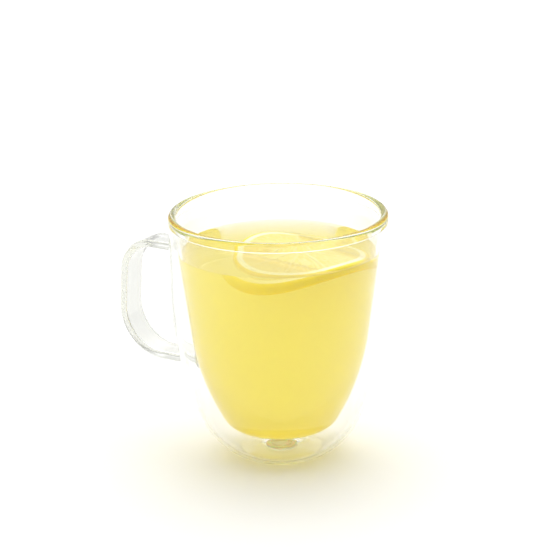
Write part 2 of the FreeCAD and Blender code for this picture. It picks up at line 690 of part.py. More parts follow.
def add_membranes(body, size):
    """Thin skins between the segments, repeated round the core."""
    outline = Outline(body, "membrane_outline", "XY_Plane")
    half = 0.5 * size["membrane"]
    start, end = size["membrane_start"], size["membrane_end"]
    low = outline.line((start, -half), (end, -half))
    far = outline.line((end, -half), (end, half))
    high = outline.line((end, half), (start, half))
    near = outline.line((start, half), (start, -half))
    outline.close()
    outline.rule("Horizontal", low)
    outline.rule("Horizontal", high)
    outline.rule("Vertical", far)
    outline.rule("Symmetric", *outline.entry(near), *outline.leave(near), Outline.LEVEL)
    outline.sized("DistanceY", (*outline.entry(far), *outline.leave(far)), "membrane", size)
    outline.at_radius(outline.leave(near), "membrane_start", size)
    outline.at_radius(outline.leave(far), "membrane_end", size)
    membrane = add_level_pad(body, "membrane", outline, "block_height")
    pattern = body.newObject("PartDesign::PolarPattern", "membranes")
    pattern.Originals = [membrane]
    pattern.Axis = (outline.sketch, ["N_Axis"])
    pattern.Angle = 360.0
    pattern.setExpression("Occurrences", "Sizes.segment_count")
    body.Tip = pattern
    return pattern


def combine(document, kind, name, base, tool):
    """Boolean of two objects, named for what it leaves."""
    result = document.addObject("Part::" + kind, name)
    result.Base = base
    result.Tool = tool
    return result


def place_slice(part):
    """Set a piece made about the slice's own centre into the tea."""
    place = "vector(Sizes.slice_x; Sizes.slice_y; Sizes.slice_height)"
    turn = "rotationz(Sizes.slice_bearing * 1 deg) * rotationy(-Sizes.slice_pitch * 1 deg)"
    part.setExpression("Placement", "placement(%s; %s)" % (place, turn))


def rounded_edges(shape, radius):
    """Numbers of the edges that run round the outside of a disc, from one face to the next."""
    numbers = []
    for number, edge in enumerate(shape.Edges, start=1):
        points = edge.discretize(EDGE_SAMPLES)
        strays = max(abs(math.hypot(point.x, point.y) - radius) for point in points)
        runs = max(math.dist(points[0][:2], point[:2]) for point in points)
        if strays < CLOSE_ENOUGH < runs:
            numbers.append(number)
    return numbers


def build_firm_parts(document, size):
    """Rind, core and the skins between the segments, at the full thickness of the slice."""
    sheet = build_sheet(document, "slice", size)
    plan = build_plan(document, "slice", ("slice_radius", "pulp_radius"), size)
    core = add_circle_sketch(plan, "core_outline", ("core_radius",), size)
    add_level_pad(plan, "core", core, "block_height")
    add_membranes(plan, size)
    return combine(document, "Common", "firm_parts", sheet, plan)


def build_lemon_slice(document, size):
    """Round slice arched over one ridge: proud rind, core and skins, with the pulp lower."""
    firm = build_firm_parts(document, size)
    pulp_sheet = build_sheet(document, "pulp", size)
    pulp_plan = build_plan(document, "pulp", ("pulp_radius",), size)
    pulp = combine(document, "Common", "pulp_parts", pulp_sheet, pulp_plan)
    whole = combine(document, "Fuse", "slice_whole", firm, pulp)
    document.recompute()
    rounded = document.addObject("Part::Fillet", "lemon_slice")
    rounded.Label = "lemon_slice"
    rounded.Base = whole
    edges = rounded_edges(whole.Shape, size["slice_radius"])
    rounded.Edges = [(number, size["slice_edge"], size["slice_edge"]) for number in edges]
    place_slice(rounded)
    return rounded


def build_tea(document, size):
    """Tea that fills the bowl to its level, less the room that the slice takes."""
    fill = new_body(document, "tea_fill")
    outline = Outline(fill, "tea_outline", "XZ_Plane")
    inset = size["bowl_wall"] + size["tea_fit"]
    cone = draw_bowl_up(outline, "tea", inset, size["tea_level"], size)
    shore = (bowl_radius_at(size, inset, size["tea_level"]), size["tea_level"])
    surface = outline.line(shore, (0.0, size["tea_level"]))
    outline.line((0.0, size["tea_level"]), (0.0, size["tea_low"]))
    outline.close()
    outline.rule("Horizontal", surface)
    outline.at_height(outline.leave(cone), "tea_level", size)
    outline.on_axis(outline.leave(surface))
    turn_round_axis(fill, "Revolution", "tea_form", outline)

    sheet = build_sheet(document, "space", size)
    plan = build_plan(document, "space", ("space_radius",), size)
    space = combine(document, "Common", "slice_space", sheet, plan)
    place_slice(space)
    tea = combine(document, "Cut", "tea", fill, space)
    tea.Label = "tea"
    return tea


def check_document(document, parts):
    """Stop if a feature failed, a sketch is at odds with itself, or a part isn't one solid."""
    for item in document.Objects:
        if any(state in ("Invalid", "Error") for state in item.State):
            raise RuntimeError("%s failed: %s" % (item.Name, item.State))
        if item.isDerivedFrom("Sketcher::SketchObject") and item.solve() != 0:
            raise RuntimeError("%s can't be solved" % item.Name)
    for part in parts:
        shape = part.Shape
        if shape.isNull() or not shape.isValid() or len(shape.Solids) != 1:
            raise RuntimeError("%s isn't one valid solid" % part.Label)


def main():
    """Build every piece, check it and write it to parts/."""
    document = FreeCAD.newDocument("glass_mug_of_tea")
    size = fill_sheet(document)
    builders = (build_glass_mug, build_vent_plug, build_tea, build_lemon_slice)
    parts = [build(document, size) for build in builders]
    document.recompute()
    check_document(document, parts)
    os.makedirs("parts", exist_ok=True)
    for part in parts:
        part.Shape.exportStep("parts/%s.step" % part.Label)
        box = part.Shape.BoundBox
        print(
            "%-12s %9.1f mm3  x %.2f..%.2f  y %.2f..%.2f  z %.2f..%.2f"
            % (part.Label, part.Shape.Volume, box.XMin, box.XMax, box.YMin, box.YMax, box.ZMin, box.ZMax)
        )


main()
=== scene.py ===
"""Looks of a double-walled glass mug of lemon tea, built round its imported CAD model.

Lengths are metres in the frame of the CAD: the foot stands on Z = 0, the mug's axis is Z and the
handle points along -X. Every piece is a finely meshed surface of the CAD's own shape: the double
wall and its strap, the vent's plug, the tea, and the slice of lemon that lies in it.
"""

import logging
import math
from dataclasses import dataclass
from enum import Enum

import bpy
import numpy as np
from mathutils import Matrix, Vector

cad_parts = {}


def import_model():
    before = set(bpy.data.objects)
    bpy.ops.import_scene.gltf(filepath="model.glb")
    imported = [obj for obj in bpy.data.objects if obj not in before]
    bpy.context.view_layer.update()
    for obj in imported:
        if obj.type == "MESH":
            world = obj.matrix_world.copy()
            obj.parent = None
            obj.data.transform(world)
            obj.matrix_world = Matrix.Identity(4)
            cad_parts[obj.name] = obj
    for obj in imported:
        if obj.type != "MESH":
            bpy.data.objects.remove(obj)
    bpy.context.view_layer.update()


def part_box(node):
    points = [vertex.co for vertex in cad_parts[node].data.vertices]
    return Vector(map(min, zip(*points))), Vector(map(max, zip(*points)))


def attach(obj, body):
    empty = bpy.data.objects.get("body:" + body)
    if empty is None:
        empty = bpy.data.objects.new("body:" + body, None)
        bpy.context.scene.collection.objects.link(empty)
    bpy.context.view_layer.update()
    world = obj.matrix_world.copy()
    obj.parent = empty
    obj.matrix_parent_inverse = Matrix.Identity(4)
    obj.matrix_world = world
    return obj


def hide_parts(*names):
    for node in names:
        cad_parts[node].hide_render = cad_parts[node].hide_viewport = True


LOG = logging.getLogger("mug_of_tea")
MM = 0.001
ROOT = "root"
SLICE_RISE = 0.16 * MM
# Darker clearness for the strap's glass: painted shade, in place of the greyer light that the strap
# refracts.
STRAP_PAINTED_SHADE_CLEARNESS = (0.8, 0.805, 0.79)

Colour = tuple[float, float, float]


class Node(str, Enum):
    """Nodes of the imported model."""

    GLASS = "glass_mug"
    PLUG = "vent_plug"
    TEA = "tea"
    SLICE = "lemon_slice"


class Slot(str, Enum):
    """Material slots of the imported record."""

    GLASS = "glass"
    PLUG = "silicone"
    TEA = "tea"
    SLICE = "lemon"


# ---- Meshes ----


def closed_rings(
    rings: np.ndarray, first_pole: np.ndarray, last_pole: np.ndarray
) -> tuple[np.ndarray, list]:
    """Join rings of points into a closed surface with one point at each end.

    Point j of ring i is joined to its neighbours j + 1 (round the ring) and to ring i + 1, and the
    first and last rings are closed by a fan of triangles to their poles.

    Args:
        rings: Points as an array of rings, points round a ring, and three coordinates.
        first_pole: Point that closes the first ring.
        last_pole: Point that closes the last ring.

    Returns:
        The vertices, and the faces as lists of vertex numbers.
    """
    count, around, _ = rings.shape
    here = np.arange(count * around).reshape(count, around)
    beside = np.roll(here, -1, axis=1)
    quads = np.stack((here[:-1], beside[:-1], beside[1:], here[1:]), axis=-1).reshape(-1, 4)
    first = np.full(around, count * around)
    last = first + 1
    first_fan = np.stack((first, beside[0], here[0]), axis=-1)
    last_fan = np.stack((last, here[-1], beside[-1]), axis=-1)
    vertices = np.vstack((rings.reshape(-1, 3), first_pole, last_pole))
    return vertices, quads.tolist() + first_fan.tolist() + last_fan.tolist()


def new_piece(name: str, vertices: np.ndarray, faces: list) -> bpy.types.Object:
    """Make a smooth mesh object at the origin.

    Args:
        name: Name of the piece.
        vertices: Places of the points, in metres.
        faces: Vertex numbers of each face, anticlockwise from outside.

    Returns:
        The object, linked to the scene.
    """
    mesh = bpy.data.meshes.new(name)
    mesh.from_pydata(vertices.tolist(), [], faces)
    mesh.shade_smooth()
    mesh.update()
    piece = bpy.data.objects.new(name, mesh)
    bpy.context.scene.collection.objects.link(piece)
    return piece


def give_attribute(piece: bpy.types.Object, name: str, values: np.ndarray) -> None:
    """Store one number for each vertex of a piece, for its material to read.

    Args:
        piece: The mesh object.
        name: Name of the attribute.
        values: One number for each vertex.
    """
    attribute = piece.data.attributes.new(name, "FLOAT", "POINT")
    attribute.data.foreach_set("value", values.astype(np.float32))


def blend_step(low: float, high: float, values: np.ndarray) -> np.ndarray:
    """Step smoothly from 0 below low to 1 above high, by t * t * (3 - 2 * t) between them."""
    share = np.clip((values - low) / (high - low), 0.0, 1.0)
    return share * share * (3.0 - 2.0 * share)


def arc_points(centre: np.ndarray, radius: float, start: float, end: float, count: int) -> np.ndarray:
    """Points on an arc, centre + radius * (cos a, sin a), with a from start to end in radians."""
    angle = np.linspace(start, end, count)
    return centre + radius * np.stack((np.cos(angle), np.sin(angle)), axis=-1)


def bearing(start: np.ndarray, end: np.ndarray) -> float:
    """Angle of the way from one point to another, in radians."""
    return math.atan2(end[1] - start[1], end[0] - start[0])


def circle_meeting(
    first: np.ndarray, first_radius: float, second: np.ndarray, second_radius: float
) -> np.ndarray:
    """Find where two circles cross.

    Args:
        first: Centre of one circle.
        first_radius: Its radius.
        second: Centre of the other circle.
        second_radius: Its radius.

    Returns:
        The lower right one of the two points.
    """
    gap = second - first
    span = float(np.hypot(*gap))
    along = (span**2 + first_radius**2 - second_radius**2) / (2.0 * span)
    across = math.sqrt(first_radius**2 - along**2)
    way = gap / span
    foot = first + along * way
    aside = across * np.array((-way[1], way[0]))
    return max((foot + aside, foot - aside), key=lambda point: point[0] - point[1])


def lathe(section: np.ndarray, around: int) -> np.ndarray:
    """Turn a section round the Z axis.

    Args:
        section: Radius and height of each ring.
        around: Points round a ring.

    Returns:
        The rings, as closed_rings takes them.
    """
    angles = np.arange(around) * 2.0 * math.pi / around
    circle = np.column_stack((np.cos(angles), np.sin(angles)))
    level = np.broadcast_to(section[:, None, 1:], (len(section), around, 1))
    return np.concatenate((section[:, None, :1] * circle[None], level), axis=-1)


# ---- Material tools ----


class ShaderTree:
    """The node tree of a material or a world, with short ways to add and join nodes."""

    def __init__(self, tree: bpy.types.NodeTree, output: str) -> None:
        """Empty the tree but for its output.

        Args:
            tree: The tree.
            output: Kind of its output node, without the ShaderNode prefix.
        """
        self.tree = tree
        self.tree.nodes.clear()
        self.output = self.add(output)

    def add(self, kind: str, **settings: object) -> bpy.types.Node:
        """Add a node and set its properties.

        Args:
            kind: Node type without its ShaderNode prefix.
            **settings: Properties of the node.

        Returns:
            The new node.
        """
        node = self.tree.nodes.new("ShaderNode" + kind)
        for key, value in settings.items():
            setattr(node, key, value)
        return node

    def join(self, source: bpy.types.NodeSocket, target: bpy.types.NodeSocket) -> None:
        """Link one socket to another."""
        self.tree.links.new(source, target)

    def span(
        self,
        source: bpy.types.NodeSocket,
        reach: tuple[float, float],
        ends: tuple[float, float] = (0.0, 1.0),
    ) -> bpy.types.NodeSocket:
        """Run smoothly from one value to another as a number crosses its reach.

        Args:
            source: The number.
            reach: Where the run starts and ends.
            ends: The value before the reach and after it.

        Returns:
            The value.
        """
        node = self.add("MapRange", interpolation_type="SMOOTHSTEP")
        names = ("From Min", "From Max", "To Min", "To Max")
        for name, value in zip(names, (*reach, *ends)):
            node.inputs[name].default_value = value
        self.join(source, node.inputs["Value"])
        return node.outputs["Result"]


def uneven_group() -> bpy.types.NodeTree:
    """Build the unevenness that several finishes share, unless it is there.

    Returns:
        A node group that takes a Place, the Scale and Detail of its noise and the numbers Low and
        High, and gives the Noise and a Step from 0 at Low to 1 at High of that noise.
    """
    name = "uneven_surface"
    if name in bpy.data.node_groups:
        return bpy.data.node_groups[name]
    group = bpy.data.node_groups.new(name, "ShaderNodeTree")
    group.interface.new_socket("Place", in_out="INPUT", socket_type="NodeSocketVector")
    for socket in ("Scale", "Detail", "Low", "High"):
        group.interface.new_socket(socket, in_out="INPUT", socket_type="NodeSocketFloat")
    for socket in ("Noise", "Step"):
        group.interface.new_socket(socket, in_out="OUTPUT", socket_type="NodeSocketFloat")
    given = group.nodes.new("NodeGroupInput")
    result = group.nodes.new("NodeGroupOutput")
    noise = group.nodes.new("ShaderNodeTexNoise")
    step = group.nodes.new("ShaderNodeMapRange")
    step.interpolation_type = "SMOOTHSTEP"
    for source, target in (
        (given.outputs["Place"], noise.inputs["Vector"]),
        (given.outputs["Scale"], noise.inputs["Scale"]),
        (given.outputs["Detail"], noise.inputs["Detail"]),
        (noise.outputs["Fac"], step.inputs["Value"]),
        (given.outputs["Low"], step.inputs["From Min"]),
        (given.outputs["High"], step.inputs["From Max"]),
        (noise.outputs["Fac"], result.inputs["Noise"]),
        (step.outputs["Result"], result.inputs["Step"]),
    ):
        group.links.new(source, target)
    return group


class MaterialTree(ShaderTree):
    """A material's node tree."""

    def __init__(self, name: str) -> None:
        """Start a material that holds only an output.

        Args:
            name: Name of the material.
        """
        self.material = bpy.data.materials.new(name)
        self.material.use_nodes = True
        super().__init__(self.material.node_tree, "OutputMaterial")

    def principled(self, **values: object) -> bpy.types.Node:
        """Add a Principled shader joined to the output, its sockets set by name.

        Args:
            **values: Socket values, with underscores for spaces.

        Returns:
            The shader node.
        """
        shader = self.add("BsdfPrincipled")
        for key, value in values.items():
            shader.inputs[key.replace("_", " ")].default_value = value
        self.join(shader.outputs["BSDF"], self.output.inputs["Surface"])
        return shader

    def attribute(self, name: str) -> bpy.types.NodeSocket:
        """Number stored on the piece under a name."""
        return self.add("Attribute", attribute_name=name).outputs["Fac"]

    def place(self) -> bpy.types.NodeSocket:
        """Object coordinates, in metres."""
        return self.add("TexCoord").outputs["Object"]

    def uneven(
        self, scale: float, detail: float, reach: tuple[float, float] = (0.0, 1.0)
    ) -> bpy.types.Node:
        """Place the shared unevenness in this material.

        Args:
            scale: Features per metre.
            detail: Octaves of finer noise.
            reach: Noise at which the step is 0, and at which it is 1.

        Returns:
            The group's node, with the outputs Noise and Step.
        """
        node = self.add("Group", node_tree=uneven_group())
        values = {"Scale": scale, "Detail": detail, "Low": reach[0], "High": reach[1]}
        for name, value in values.items():
            node.inputs[name].default_value = value
        self.join(self.place(), node.inputs["Place"])
        return node

    def mixed(
        self,
        share: bpy.types.NodeSocket,
        first: Colour | bpy.types.NodeSocket,
        second: Colour | bpy.types.NodeSocket,
    ) -> bpy.types.NodeSocket:
        """Mix two colours by a share from 0, all the first, to 1, all the second.

        Args:
            share: The share of the second colour.
            first: A colour, or the socket that gives it.
            second: A colour, or the socket that gives it.

        Returns:
            The mixed colour.
        """
        node = self.add("Mix", data_type="RGBA")
        self.join(share, node.inputs["Factor"])
        for name, value in (("A", first), ("B", second)):
            socket = next(item for item in node.inputs if item.name == name and item.type == "RGBA")
            if isinstance(value, tuple):
                socket.default_value = (*value, 1.0)
            else:
                self.join(value, socket)
        return next(item for item in node.outputs if item.type == "RGBA")

    def bump(self, height: bpy.types.NodeSocket, strength: float, distance: float) -> bpy.types.NodeSocket:
        """Normal that follows a height.

        Args:
            height: Height as a share of the distance.
            strength: How much of the effect shows.
            distance: Height of 1, in metres.

        Returns:
            The normal.
        """
        node = self.add("Bump")
        node.inputs["Strength"].default_value = strength
        node.inputs["Distance"].default_value = distance
        self.join(height, node.inputs["Height"])
        return node.outputs["Normal"]


@dataclass(frozen=True)
class GlassFinish:
    """Clear borosilicate glass, faintly olive through its thickness.

    The head-on share dims the reflection of the floor that would veil the tea, and leaves the
    reflection at a glancing angle as it is.
    """

    name: str = "clear_glass"
    ior: float = 1.47
    clearness: Colour = (0.985, 0.985, 0.98)
    head_on_share: Colour = (0.45, 0.45, 0.45)
    tint: Colour = (0.8, 0.83, 0.4)
    tint_density: float = 6.0
    wave_scale: float = 60.0
    wave_detail: float = 1.0
    wave_height: float = 0.00002
    wave_strength: float = 0.25

    def build(self) -> bpy.types.Material:
        """Make the material.

        Returns:
            Clear glass with a slight waviness and a tint that grows with depth.
        """
        tree = MaterialTree(self.name)
        shader = tree.principled(
            Base_Color=(*self.clearness, 1.0),
            Roughness=0.0,
            IOR=self.ior,
            Transmission_Weight=1.0,
            Specular_Tint=(*self.head_on_share, 1.0),
        )
        noise = tree.uneven(self.wave_scale, self.wave_detail).outputs["Noise"]
        tree.join(tree.bump(noise, self.wave_strength, self.wave_height), shader.inputs["Normal"])
        tint = tree.add("VolumeAbsorption")
        tint.inputs["Color"].default_value = (*self.tint, 1.0)
        tint.inputs["Density"].default_value = self.tint_density
        tree.join(tint.outputs["Volume"], tree.output.inputs["Volume"])
        return tree.material


@dataclass(frozen=True)
class SiliconeFinish:
    """Milky, slightly dusty silicone rubber."""

    fresh: Colour = (0.98, 0.96, 0.84)
    dusty: Colour = (0.93, 0.91, 0.78)
    ior: float = 1.41
    clearness: float = 0.35
    softness: float = 0.6
    soft_depth: float = 4.0 * MM
    mottle_scale: float = 900.0
    mottle_detail: float = 3.0
    mottle_reach: tuple[float, float] = (0.0, 3.0)

    def build(self) -> bpy.types.Material:
        """Make the material.

        Returns:
            Soft translucent rubber whose colour and roughness vary a little.
        """
        tree = MaterialTree("milky_silicone")
        shader = tree.principled(
            IOR=self.ior,
            Subsurface_Weight=self.softness,
            Subsurface_Scale=self.soft_depth,
            Transmission_Weight=self.clearness,
        )
        mottle = tree.uneven(self.mottle_scale, self.mottle_detail, self.mottle_reach)
        colour = tree.mixed(mottle.outputs["Noise"], self.fresh, self.dusty)
        tree.join(colour, shader.inputs["Base Color"])
        tree.join(mottle.outputs["Step"], shader.inputs["Roughness"])
        return tree.material


@dataclass(frozen=True)
class TeaFinish:
    """Cloudy lemon tea."""

    ior: float = 1.333
    head_on_share: Colour = (0.45, 0.45, 0.45)
    haze: Colour = (1.0, 0.93, 0.4)
    haze_density: float = 55.0
    haze_forward: float = 0.6
    stain: Colour = (0.998, 0.958, 0.1)
    stain_density: float = 30.0
    # The colour runs from the top one down to a deeper yellow near the bottom: painted shade.
    clear: Colour = (1.0, 0.985, 0.93)
    painted_shade_colour: Colour = (1.0, 0.94, 0.6)
    clear_height: float = 80.0 * MM
    full_shade_height: float = 5.0 * MM

    def build(self) -> bpy.types.Material:
        """Make the material.

        Returns:
            Clear liquid whose inside scatters and takes off blue, its colour deepening towards the bottom
            as painted shade.
        """
        tree = MaterialTree("lemon_tea")
        shader = tree.principled(
            Roughness=0.0,
            IOR=self.ior,
            Transmission_Weight=1.0,
            Specular_Tint=(*self.head_on_share, 1.0),
        )
        height = tree.add("SeparateXYZ")
        tree.join(tree.place(), height.inputs["Vector"])
        # Deepen the tea's colour towards the bottom as painted shade.
        upper = tree.span(height.outputs["Z"], (self.full_shade_height, self.clear_height))
        tree.join(tree.mixed(upper, self.painted_shade_colour, self.clear), shader.inputs["Base Color"])
        haze = tree.add("VolumeScatter")
        haze.inputs["Color"].default_value = (*self.haze, 1.0)
        haze.inputs["Density"].default_value = self.haze_density
        haze.inputs["Anisotropy"].default_value = self.haze_forward
        stain = tree.add("VolumeAbsorption")
        stain.inputs["Color"].default_value = (*self.stain, 1.0)
        stain.inputs["Density"].default_value = self.stain_density
        both = tree.add("AddShader")
        tree.join(haze.outputs["Volume"], both.inputs[0])
        tree.join(stain.outputs["Volume"], both.inputs[1])
        tree.join(both.outputs["Shader"], tree.output.inputs["Volume"])
        return tree.material


@dataclass(frozen=True)
class LemonFinish:
    """Wet cut lemon: zest, pith, and juicy pulp."""

    zest: Colour = (0.95, 0.78, 0.0)
    zest_deep: Colour = (0.93, 0.7, 0.0)
    pith: Colour = (0.95, 0.92, 0.62)
    pulp: Colour = (0.86, 0.74, 0.2)
    pulp_pale: Colour = (0.88, 0.78, 0.28)
    glow: Colour = (1.0, 0.9, 0.3)
    softness: float = 0.15
    soft_depth: float = 1.0 * MM
    ior: float = 1.4
    shine: float = 0.15
    wet_roughness: float = 0.05
    wet_reach: tuple[float, float] = (-0.1, 4.0)
    pore_scale: float = 700.0
    pore_reach: tuple[float, float] = (0.0, 0.45)
    pore_strength: float = 0.35
    pore_depth: float = 0.25 * MM
    mottle_detail: float = 2.0
    mottle_reach: tuple[float, float] = (-1.0, 2.5)

    def build(self) -> bpy.types.Material:
        """Make the material.

        Returns:
            One material whose zones follow the attributes zest, pulp and cell of the slice.
        """
        tree = MaterialTree("wet_lemon")
        shader = tree.principled(
            IOR=self.ior,
            Subsurface_Weight=self.softness,
            Subsurface_Scale=self.soft_depth,
            Subsurface_Radius=self.glow,
            Specular_IOR_Level=self.shine,
            Coat_Roughness=self.wet_roughness,
        )
        pores = tree.add("TexVoronoi", feature="F1")
        pores.inputs["Scale"].default_value = self.pore_scale
        tree.join(tree.place(), pores.inputs["Vector"])
        pore = tree.span(pores.outputs["Distance"], self.pore_reach)
        zest = tree.mixed(pore, self.zest_deep, self.zest)
        pulp = tree.mixed(tree.attribute("cell"), self.pulp_pale, self.pulp)
        flesh = tree.mixed(tree.attribute("pulp"), self.pith, pulp)
        colour = tree.mixed(tree.attribute("zest"), flesh, zest)
        tree.join(colour, shader.inputs["Base Color"])
        mottle = tree.uneven(self.pore_scale, self.mottle_detail, self.mottle_reach)
        tree.join(mottle.outputs["Step"], shader.inputs["Roughness"])
        tree.join(tree.span(tree.attribute("pulp"), self.wet_reach), shader.inputs["Coat Weight"])
        tree.join(tree.bump(pore, self.pore_strength, self.pore_depth), shader.inputs["Normal"])
        return tree.material


# ---- The glass ----


@dataclass(frozen=True)
class Bowl:
    """Section of the bowl: a shallow crown, a tight corner, a long side and a straight cone.

    Each is tangent to the next, and all are given for the outside of the bowl's wall.
    """

    wall: float = 1.4 * MM
    base_height: float = 8.9 * MM
    crown: float = 55.0 * MM
    corner: float = 9.0 * MM
    side: float = 97.0 * MM
    bend_radius: float = 36.828 * MM
    bend_height: float = 53.0 * MM
    taper: float = math.radians(7.4)
    curve_points: int = 24
    corner_points: int = 16
    cone_points: int = 12

    def cone_radius(self, inset: float, height: float) -> float:
        """Radius of the cone at a height, on the face that lies `inset` inside the outer one."""
        climb = height - self.bend_height
        return self.bend_radius + climb * math.tan(self.taper) - inset / math.cos(self.taper)

    def section(self, inset: float, top: float) -> np.ndarray:
        """Radius and height from near the axis up to a height on the cone.

        Args:
            inset: How far the face lies inside the bowl's outer face.
            top: Height at which the section ends.

        Returns:
            Points along the section.
        """
        crown_centre = np.array((0.0, self.base_height + self.crown))
        lean = np.array((math.cos(self.taper), -math.sin(self.taper)))
        side_centre = np.array((self.bend_radius, self.bend_height)) - self.side * lean
        corner_centre = circle_meeting(
            crown_centre, self.crown - self.corner, side_centre, self.side - self.corner
        )
        down = bearing(crown_centre, corner_centre)
        out = bearing(side_centre, corner_centre)
        crown = arc_points(crown_centre, self.crown - inset, -0.5 * math.pi, down, self.curve_points)[1:]
        corner = arc_points(corner_centre, self.corner - inset, down, out, self.corner_points)[1:]
        side = arc_points(side_centre, self.side - inset, out, -self.taper, self.curve_points)[1:]
        heights = np.linspace(side[-1, 1], top, self.cone_points)[1:]
        radii = self.cone_radius(inset, heights)
        return np.vstack((crown, corner, side, np.column_stack((radii, heights))))


@dataclass(frozen=True)
class Shell:
    """Section of the outer wall: foot corner, haunch, belly and shoulder, each tangent to the next."""

    wall: float = 1.5 * MM
    radius: float = 45.0 * MM
    shoulder_height: float = 74.0 * MM
    belly: float = 150.0 * MM
    haunch_height: float = 17.0 * MM
    haunch: float = 32.0 * MM
    foot_corner: float = 2.5 * MM
    corner_points: int = 10
    haunch_points: int = 22
    belly_points: int = 26

    def radius_at(self, heights: np.ndarray) -> np.ndarray:
        """Outer radius above the haunch: upright over the shoulder, and the belly's arc below it."""
        below = np.minimum(heights - self.shoulder_height, 0.0)
        return self.radius - self.belly + np.sqrt(self.belly**2 - below**2)

    def section(self, inset: float, floor: float) -> np.ndarray:
        """Radius and height from the edge of a floor up to the shoulder.

        Args:
            inset: How far the face lies inside the shell's outer face.
            floor: Height of the floor.

        Returns:
            Points along the section.
        """
        belly_centre = np.array((self.radius - self.belly, self.shoulder_height))
        fall = -math.asin((self.shoulder_height - self.haunch_height) / self.belly)
        way = np.array((math.cos(fall), math.sin(fall)))
        haunch_centre = belly_centre + (self.belly - self.haunch) * way
        reach = self.haunch - inset - self.foot_corner
        rise = floor + self.foot_corner - haunch_centre[1]
        run = math.sqrt(reach**2 - rise**2)
        corner_centre = np.array((haunch_centre[0] + run, floor + self.foot_corner))
        turn = bearing(haunch_centre, corner_centre)
        corner = arc_points(corner_centre, self.foot_corner, -0.5 * math.pi, turn, self.corner_points)
        haunch = arc_points(haunch_centre, self.haunch - inset, turn, fall, self.haunch_points)[1:]
        belly = arc_points(belly_centre, self.belly - inset, fall, 0.0, self.belly_points)[1:]
        return np.vstack((corner, haunch, belly))


@dataclass(frozen=True)
class DoubleWall:
    """The bowl and the shell, fused at the rim, as one skin turned round the axis."""

    bowl: Bowl
    shell: Shell
    height: float = 104.0 * MM
    seam_depth: float = 4.0 * MM
    foot_thickness: float = 1.8 * MM
    vent_radius: float = 5.0 * MM
    vent_edge: float = 0.15 * MM
    round_points: int = 26
    vent_edge_points: int = 4
    around: int = 288

    def closing_round(self, outer: float, inset: float, top: float) -> tuple[np.ndarray, float]:
        """Arc that closes an upright wall to the leaning bowl under a level top.

        Its radius is the gap between them at the top * cos(taper) / (1 + cos(taper) - sin(taper)).

        Args:
            outer: Radius of the upright wall.
            inset: Which face of the bowl it meets.
            top: Height of the arc's crest.

        Returns:
            Points from the upright wall over to the bowl, and the height where it meets the bowl.
        """
        lean = self.bowl.taper
        gap = outer - self.bowl.cone_radius(inset, top)
        radius = gap * math.cos(lean) / (1.0 + math.cos(lean) - math.sin(lean))
        centre = np.array((outer - radius, top - radius))
        arc = arc_points(centre, radius, 0.0, math.pi - lean, self.round_points)
        return arc, arc[-1, 1]

    def section(self) -> np.ndarray:
        """Radius and height of every ring, from under the bowl to the middle of its inside.

        The way is: out under the bowl and up its back, over the top of the hollow, down inside
        the shell, in over the foot, down the vent, out under the foot, up the shell, over the rim
        and down inside the bowl.

        Returns:
            Points along the section.
        """
        hollow_radius = self.shell.radius - self.shell.wall
        hollow_end, hollow_meeting = self.closing_round(hollow_radius, 0.0, self.height - self.seam_depth)
        rim, rim_meeting = self.closing_round(self.shell.radius, self.bowl.wall, self.height)
        edge = self.vent_edge
        centres = np.array(
            ((self.vent_radius + edge, self.foot_thickness - edge), (self.vent_radius + edge, edge))
        )
        vent_top = arc_points(centres[0], edge, 0.5 * math.pi, math.pi, self.vent_edge_points)
        vent_foot = arc_points(centres[1], edge, math.pi, 1.5 * math.pi, self.vent_edge_points)
        return np.vstack(
            (
                self.bowl.section(0.0, hollow_meeting),
                hollow_end[::-1][1:],
                self.shell.section(self.shell.wall, self.foot_thickness)[::-1],
                vent_top,
                vent_foot,
                self.shell.section(0.0, 0.0),
                rim,
                self.bowl.section(self.bowl.wall, rim_meeting)[::-1][1:],
            )
        )

    def build(self) -> bpy.types.Object:
        """Make the double wall.

        Returns:
            The mesh object.
        """
        under = np.array((0.0, 0.0, self.bowl.base_height))
        inside = np.array((0.0, 0.0, self.bowl.base_height + self.bowl.wall))
        return new_piece("double_wall", *closed_rings(lathe(self.section(), self.around), under, inside))


